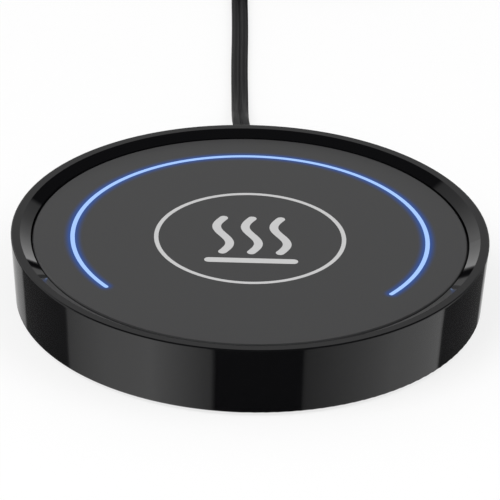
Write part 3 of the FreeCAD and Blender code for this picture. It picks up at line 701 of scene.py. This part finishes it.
plastics = {
    "matteBlack": {
        "nodes": ["base_cover", "cord_clamp", "coil_tie"],
        "Tint": (0.018, 0.018, 0.019), "Shade": 0.5, "Roughness": 0.5, "Spread": 0.1,
        "Grain": 0.35, "Cloud": 14.0, "bump": 0.5, "depth": 0.03,
    },
    "leadBlack": {
        "nodes": ["cord_relief", "lead_inner", "plug_body"],
        "Tint": (0.006, 0.006, 0.007), "Shade": 0.35, "Roughness": 0.30, "Spread": 0.06,
        "Grain": 0.5, "Cloud": 9.0, "bump": 0.12, "depth": 0.01, "gloss": 0.07,
    },
    "footRubber": {
        "nodes": ["rubber_foot_1", "rubber_foot_2", "rubber_foot_3", "rubber_foot_4"],
        "Tint": (0.040, 0.040, 0.041), "Shade": 0.4, "Roughness": 0.75, "Spread": 0.1,
        "Grain": 0.3, "Cloud": 4.0, "bump": 0.5, "depth": 0.03,
    },
    "siliconeBead": {
        "nodes": ["silicone_bead"],
        "Tint": (0.10, 0.10, 0.10), "Shade": 0.2, "Roughness": 0.42, "Spread": 0.1,
        "Grain": 0.4, "Cloud": 5.0, "bump": 0.2, "depth": 0.01,
    },
    "carrierNylon": {
        "nodes": ["plate_carrier"],
        "Tint": (0.012, 0.012, 0.013), "Shade": 0.4, "Roughness": 0.55, "Spread": 0.1,
        "Grain": 0.3, "Cloud": 10.0, "bump": 0.3, "depth": 0.02,
    },
    "switchCase": {
        "nodes": ["microswitch_body"],
        "Tint": (0.035, 0.035, 0.045), "Shade": 0.3, "Roughness": 0.4, "Spread": 0.1,
        "Grain": 0.2, "Cloud": 3.0, "bump": 0.2, "depth": 0.01,
    },
    "plungerRed": {
        "nodes": ["microswitch_plunger"],
        "Tint": (0.50, 0.03, 0.025), "Shade": 0.15, "Roughness": 0.35, "Spread": 0.1,
        "Grain": 0.2, "Cloud": 2.0, "bump": 0.1, "depth": 0.01,
    },
    "relayBlue": {
        "nodes": ["relay"],
        "Tint": (0.02, 0.10, 0.38), "Shade": 0.15, "Roughness": 0.28, "Spread": 0.1,
        "Grain": 0.3, "Cloud": 6.0, "bump": 0.1, "depth": 0.01,
    },
    "capacitorYellow": {
        "nodes": ["film_capacitor"],
        "Tint": (0.72, 0.55, 0.06), "Shade": 0.12, "Roughness": 0.32, "Spread": 0.1,
        "Grain": 0.3, "Cloud": 5.0, "bump": 0.1, "depth": 0.01,
    },
    "chipBlack": {
        "nodes": ["control_chip"],
        "Tint": (0.022, 0.022, 0.024), "Shade": 0.4, "Roughness": 0.6, "Spread": 0.1,
        "Grain": 0.12, "Cloud": 3.0, "bump": 0.3, "depth": 0.01,
    },
    "terminalGreen": {
        "nodes": ["terminal_block"],
        "Tint": (0.05, 0.32, 0.15), "Shade": 0.15, "Roughness": 0.38, "Spread": 0.1,
        "Grain": 0.3, "Cloud": 5.0, "bump": 0.1, "depth": 0.01,
    },
    "whiteBoard": {
        "nodes": ["light_strip"],
        "Tint": (0.78, 0.78, 0.76), "Shade": 0.06, "Roughness": 0.45, "Spread": 0.1,
        "Grain": 0.2, "Cloud": 4.0, "bump": 0.1, "depth": 0.01,
    },
    "fuseCase": {
        "nodes": ["thermal_fuse"],
        "Tint": (0.80, 0.79, 0.74), "Shade": 0.08, "Roughness": 0.3, "Spread": 0.1,
        "Grain": 0.2, "Cloud": 3.0, "bump": 0.1, "depth": 0.01,
    },
    "wireBrown": {
        "nodes": ["live_wire"],
        "Tint": (0.18, 0.06, 0.025), "Shade": 0.2, "Roughness": 0.35, "Spread": 0.1,
        "Grain": 0.3, "Cloud": 4.0, "bump": 0.1, "depth": 0.01,
    },
    "wireBlue": {
        "nodes": ["neutral_wire"],
        "Tint": (0.02, 0.10, 0.42), "Shade": 0.2, "Roughness": 0.35, "Spread": 0.1,
        "Grain": 0.3, "Cloud": 4.0, "bump": 0.1, "depth": 0.01,
    },
    "wireRed": {
        "nodes": ["switch_wires", "light_wires"],
        "Tint": (0.48, 0.025, 0.025), "Shade": 0.2, "Roughness": 0.35, "Spread": 0.1,
        "Grain": 0.3, "Cloud": 4.0, "bump": 0.1, "depth": 0.01,
    },
}

metals = {
    "screwSteel": {
        "nodes": ["housing_screws", "backing_screws", "board_screws", "clamp_screws"],
        "Tint": (0.52, 0.52, 0.54), "Roughness": 0.32, "Line": 0.15, "Length": 0.4, "bump": 0.2,
    },
    "spreaderMetal": {
        "nodes": ["heat_spreader"],
        "Tint": (0.72, 0.72, 0.73), "Roughness": 0.34, "Line": 0.2, "Length": 0.02, "bump": 0.3,
    },
    "steelSheet": {
        "nodes": ["backing_disc", "fuse_clip"],
        "Tint": (0.58, 0.59, 0.60), "Roughness": 0.36, "Line": 0.6, "Length": 0.5, "bump": 0.1,
    },
    "sensorCase": {
        "nodes": ["temperature_sensor"],
        "Tint": (0.60, 0.60, 0.62), "Roughness": 0.3, "Line": 0.1, "Length": 0.1, "bump": 0.2,
    },
    "canMetal": {
        "nodes": ["smoothing_capacitor"],
        "Tint": (0.62, 0.62, 0.64), "Roughness": 0.26, "Line": 0.1, "Length": 0.1, "bump": 0.2,
    },
    "stampedBrass": {
        "nodes": ["element_terminals"],
        "Tint": (0.70, 0.52, 0.22), "Roughness": 0.3, "Line": 0.12, "Length": 0.05, "bump": 0.2,
    },
    "bladeMetal": {
        "nodes": ["plug_blades"],
        "Tint": (0.74, 0.70, 0.60), "Roughness": 0.25, "Line": 0.12, "Length": 0.05, "bump": 0.2,
    },
    "springSteel": {
        "nodes": ["return_spring_1", "return_spring_2", "return_spring_3"],
        "Tint": (0.48, 0.48, 0.50), "Roughness": 0.28, "Line": 0.08, "Length": 0.6, "bump": 0.1,
    },
}

sheets = {
    "micaSheet": {
        "nodes": ["heating_element"],
        "Light": (0.52, 0.44, 0.32), "Dark": (0.30, 0.24, 0.16), "Size": 1.6, "Roughness": 0.35,
    },
    "feltPad": {
        "nodes": ["insulation_pad"],
        "Light": (0.88, 0.86, 0.81), "Dark": (0.70, 0.68, 0.62), "Size": 0.7, "Roughness": 0.9,
    },
    "braidedSleeve": {
        "nodes": ["heater_wires", "sensor_wires", "fuse_lead"],
        "Light": (0.82, 0.82, 0.80), "Dark": (0.62, 0.62, 0.60), "Size": 0.35, "Roughness": 0.7,
    },
}


def shared(values, *labels):
    return {label: values[label] for label in labels}


def dressPlastics():
    made = {}
    for name, look in plastics.items():
        made[name] = makeFinish(name, {
            "effect": "moulded",
            "values": shared(look, "Tint", "Shade", "Roughness", "Spread", "Grain", "Cloud"),
            "shader": {"Specular IOR Level": look.get("gloss", usualGloss)},
            "bump": look["bump"],
            "depth": look["depth"],
            "shown": look["Tint"],
        })
        dress(made[name], *look["nodes"])
    return made


def dressMetals():
    for name, look in metals.items():
        finish = makeFinish(name, {
            "effect": "worked",
            "values": shared(look, "Tint", "Roughness", "Line", "Length"),
            "shader": {"Metallic": 1.0},
            "bump": look["bump"],
            "depth": 0.01,
            "shown": look["Tint"],
        })
        dress(finish, *look["nodes"])


def dressSheets():
    for name, look in sheets.items():
        finish = makeFinish(name, {
            "effect": "flecked",
            "values": shared(look, "Light", "Dark", "Size", "Roughness"),
            "bump": 0.4,
            "depth": 0.04,
            "shown": look["Light"],
        })
        dress(finish, *look["nodes"])


def dressClearAndLit():
    board = makeFinish("boardGreen", {
        "effect": "tracks", "values": {"Step": 2.5}, "bump": 0.3, "depth": 0.03,
        "shown": (0.03, 0.22, 0.08),
    })
    dress(board, "control_board")
    acrylic = makeFinish("clearAcrylic", {
        "effect": "marks",
        "values": {"Roughness": 0.06, "Smudge": 0.03, "Scratch": 0.05, "Size": 8.0},
        "shader": {"Base Color": (0.78, 0.87, 0.97), "IOR": 1.49, "Transmission Weight": 0.85},
        "bump": 0.05, "depth": 0.004, "shown": (0.75, 0.85, 0.95),
    })
    dress(acrylic, "light_guide")
    fuseGlass = makeFinish("fuseGlass", {
        "effect": "marks",
        "values": {"Roughness": 0.03, "Smudge": 0.02, "Scratch": 0.03, "Size": 6.0},
        "shader": {"Base Color": (0.85, 0.9, 0.9), "IOR": 1.5, "Transmission Weight": 0.8},
        "bump": 0.05, "depth": 0.004, "shown": (0.8, 0.85, 0.85),
    })
    dress(fuseGlass, "board_fuse")
    lit = makeFinish("blueLight", {
        "effect": "moulded",
        "values": {
            "Tint": (0.15, 0.35, 1.0), "Shade": 0.1, "Roughness": 0.3,
            "Spread": 0.05, "Grain": 0.3, "Cloud": 2.0,
        },
        "shader": {"Emission Color": (0.15, 0.35, 1.0), "Emission Strength": 1.0},
        "shown": (0.2, 0.4, 1.0),
    })
    dress(lit, "strip_lights")


plasticFinishes = dressPlastics()
dressMetals()
dressSheets()
dressClearAndLit()


# The springs and the wires up to the plate give way as it is pressed. Each is copied into a piece of its own
# on the housing, in place of its node, and keeps the node's shape.

yielding = {
    "travel": 1.0,
    "springFoot": 2.8,
    "wireFoot": 5.0,
    "springs": ["return_spring_1", "return_spring_2", "return_spring_3"],
    "wires": ["heater_wires", "sensor_wires", "light_wires"],
    "springSlot": "spring_steel",
    "wireSlots": ["wire_white", "wire_white", "wire_red"],
}


def makeYielding(node):
    shown = bpy.data.objects.new(node + "_live", nodes[node].data.copy())
    scene.collection.objects.link(shown)
    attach(shown, "housing")
    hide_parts(node)
    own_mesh(shown)


for node in yielding["springs"]:
    makeYielding(node)
for node, slotName in zip(yielding["wires"], yielding["wireSlots"]):
    makeYielding(node)
powerLead.data.materials.append(plasticFinishes["leadBlack"])
print("all nodes dressed")


# The studio: a white table, plain soft light, and for reflections alone a
# ring of soft panels with dark gaps, which gives gloss black its shape.
# These lengths are in metres.

studio = {
    "floorSize": 12.0,
    "floorDrop": 0.00005,
    "floorColour": (0.93, 0.93, 0.93),
    "floorRoughness": 0.9,
    "floorFill": 0.75,    # how much of the table's white the camera sees at once
    "skyDiffuse": 0.55,
    "panels": [           # degrees round the object from its front, brightness
        (-180.0, 0.8), (-162.0, 0.52), (-148.0, 0.45), (-145.0, 0.07), (-103.0, 0.06), (-101.0, 0.42),
        (-75.0, 1.0), (-50.0, 1.32), (-18.0, 0.50), (-16.0, 0.005), (28.0, 0.005), (30.0, 0.32),
        (79.0, 0.92), (112.0, 0.85), (114.0, 0.07), (161.0, 0.07), (164.0, 0.45), (180.0, 0.9),
    ],
    "upper": [            # degrees above the horizon, brightness
        (-90.0, 0.30), (0.0, 0.30), (2.9, 0.30), (3.6, 0.0), (6.2, 0.0), (7.0, 1.25),
        (12.0, 1.0), (20.0, 0.62), (27.0, 0.40), (35.0, 0.34), (36.4, 0.0), (90.0, 0.0),
    ],
    "leanRise": 0.55,     # the back panel's top edge stands higher on the left
    "leanMost": 0.254,
    "frontShare": 0.15,   # what the upper panels keep of their brightness in front
    "lamps": {
        "keyLamp": {"place": (-0.7, -0.5, 1.3), "size": 1.1, "power": 11.0},
        "fillLamp": {"place": (0.8, -0.2, 1.0), "size": 0.9, "power": 4.5},
    },
}


# A ramp over the angles from -reach to reach.
def makeRamp(tree, stops, reach, x, y):
    ramp = addNode(tree, "ShaderNodeValToRGB", x, y)
    elements = ramp.color_ramp.elements
    while len(elements) < len(stops):
        elements.new(0.5)
    for element, (at, level) in zip(elements, stops):
        element.position = (at + reach) / (2 * reach)
    for element, (at, level) in zip(elements, stops):
        element.color = (level, level, level, 1.0)
    return ramp


def makeWorld():
    world = bpy.data.worlds.new("studioWorld")
    world.use_nodes = True
    tree = world.node_tree
    tree.nodes.clear()
    links = tree.links

    def maths(operation, *values):
        made = addNode(tree, "ShaderNodeMath", 0, 0)
        made.operation = operation
        for socket, value in zip(made.inputs, values):
            feed(tree, socket, value)
        return made.outputs[0]

    direction = addNode(tree, "ShaderNodeTexCoord", -1200, 0)
    parts = addNode(tree, "ShaderNodeSeparateXYZ", -1000, 0)
    links.new(direction.outputs["Generated"], parts.inputs[0])
    x, y, z = parts.outputs
    azimuth = maths("ARCTAN2", x, maths("MULTIPLY", y, -1.0))
    azimuth = maths("MULTIPLY_ADD", azimuth, 0.5 / math.pi, 0.5)
    lean = maths("MINIMUM", maths("MULTIPLY", z, studio["leanRise"]), studio["leanMost"])
    leaning = maths("MULTIPLY", x, lean)
    height = maths("MULTIPLY_ADD", maths("ADD", maths("ARCSINE", z), leaning), 1.0 / math.pi, 0.5)
    panels = makeRamp(tree, studio["panels"], 180.0, -600, 200)
    upper = makeRamp(tree, studio["upper"], 90.0, -600, -200)
    links.new(azimuth, panels.inputs[0])
    links.new(height, upper.inputs[0])
    aboveHorizon = maths("GREATER_THAN", z, 0.0)
    front = studio["frontShare"]
    behind = maths("MULTIPLY_ADD", maths("GREATER_THAN", y, 0.0), 1.0 - front, front)
    black, white = (0.0, 0.0, 0.0, 1.0), (1.0, 1.0, 1.0, 1.0)
    shadedUpper = addMix(tree, behind, black, upper.outputs[0], -300, -200)
    reflected = addMix(tree, aboveHorizon, panels.outputs[0], shadedUpper, -100, 0)

    rays = addNode(tree, "ShaderNodeLightPath", -400, 500)
    sky = studio["skyDiffuse"]
    glossy = addMix(tree, rays.outputs["Is Glossy Ray"], (sky, sky, sky, 1.0), reflected, 100, 0)
    seen = addMix(tree, rays.outputs["Is Camera Ray"], glossy, white, 300, 0)
    background = addNode(tree, "ShaderNodeBackground", 500, 0)
    links.new(seen, background.inputs["Color"])
    result = addNode(tree, "ShaderNodeOutputWorld", 700, 0)
    links.new(background.outputs[0], result.inputs[0])
    scene.world = world


def makeFloor():
    half = studio["floorSize"] / 2
    mesh = bpy.data.meshes.new("whiteTable")
    corners = [(-half, -half), (half, -half), (half, half), (-half, half)]
    mesh.from_pydata([(x, y, -studio["floorDrop"]) for x, y in corners], [], [(0, 1, 2, 3)])
    table = bpy.data.objects.new("whiteTable", mesh)
    scene.collection.objects.link(table)
    finish = bpy.data.materials.new("tableWhite")
    finish.use_nodes = True
    tree = finish.node_tree
    shader = tree.nodes["Principled BSDF"]
    shader.inputs["Base Color"].default_value = (*studio["floorColour"], 1.0)
    shader.inputs["Roughness"].default_value = studio["floorRoughness"]
    shader.inputs["Specular IOR Level"].default_value = 0.0
    rays = addNode(tree, "ShaderNodeLightPath", -600, 300)
    share = addNode(tree, "ShaderNodeMath", -400, 300)
    share.operation = "MULTIPLY"
    tree.links.new(rays.outputs["Is Camera Ray"], share.inputs[0])
    share.inputs[1].default_value = studio["floorFill"]
    white = addNode(tree, "ShaderNodeEmission", -300, 100)
    white.inputs["Strength"].default_value = 1.0
    both = addNode(tree, "ShaderNodeMixShader", 300, 300)
    tree.links.new(share.outputs[0], both.inputs[0])
    tree.links.new(shader.outputs[0], both.inputs[1])
    tree.links.new(white.outputs[0], both.inputs[2])
    tree.links.new(both.outputs[0], tree.nodes["Material Output"].inputs["Surface"])
    mesh.materials.append(finish)
    table.visible_glossy = False


def makeLamps():
    for name, lamp in studio["lamps"].items():
        data = bpy.data.lights.new(name, "AREA")
        data.shape = "DISK"
        data.size = lamp["size"]
        data.energy = lamp["power"]
        shown = bpy.data.objects.new(name, data)
        shown.location = lamp["place"]
        shown.rotation_euler = Vector(lamp["place"]).to_track_quat("Z", "Y").to_euler()
        shown.visible_glossy = False
        scene.collection.objects.link(shown)


makeWorld()
makeFloor()
makeLamps()
scene.view_settings.view_transform = "Standard"
print("studio lit")
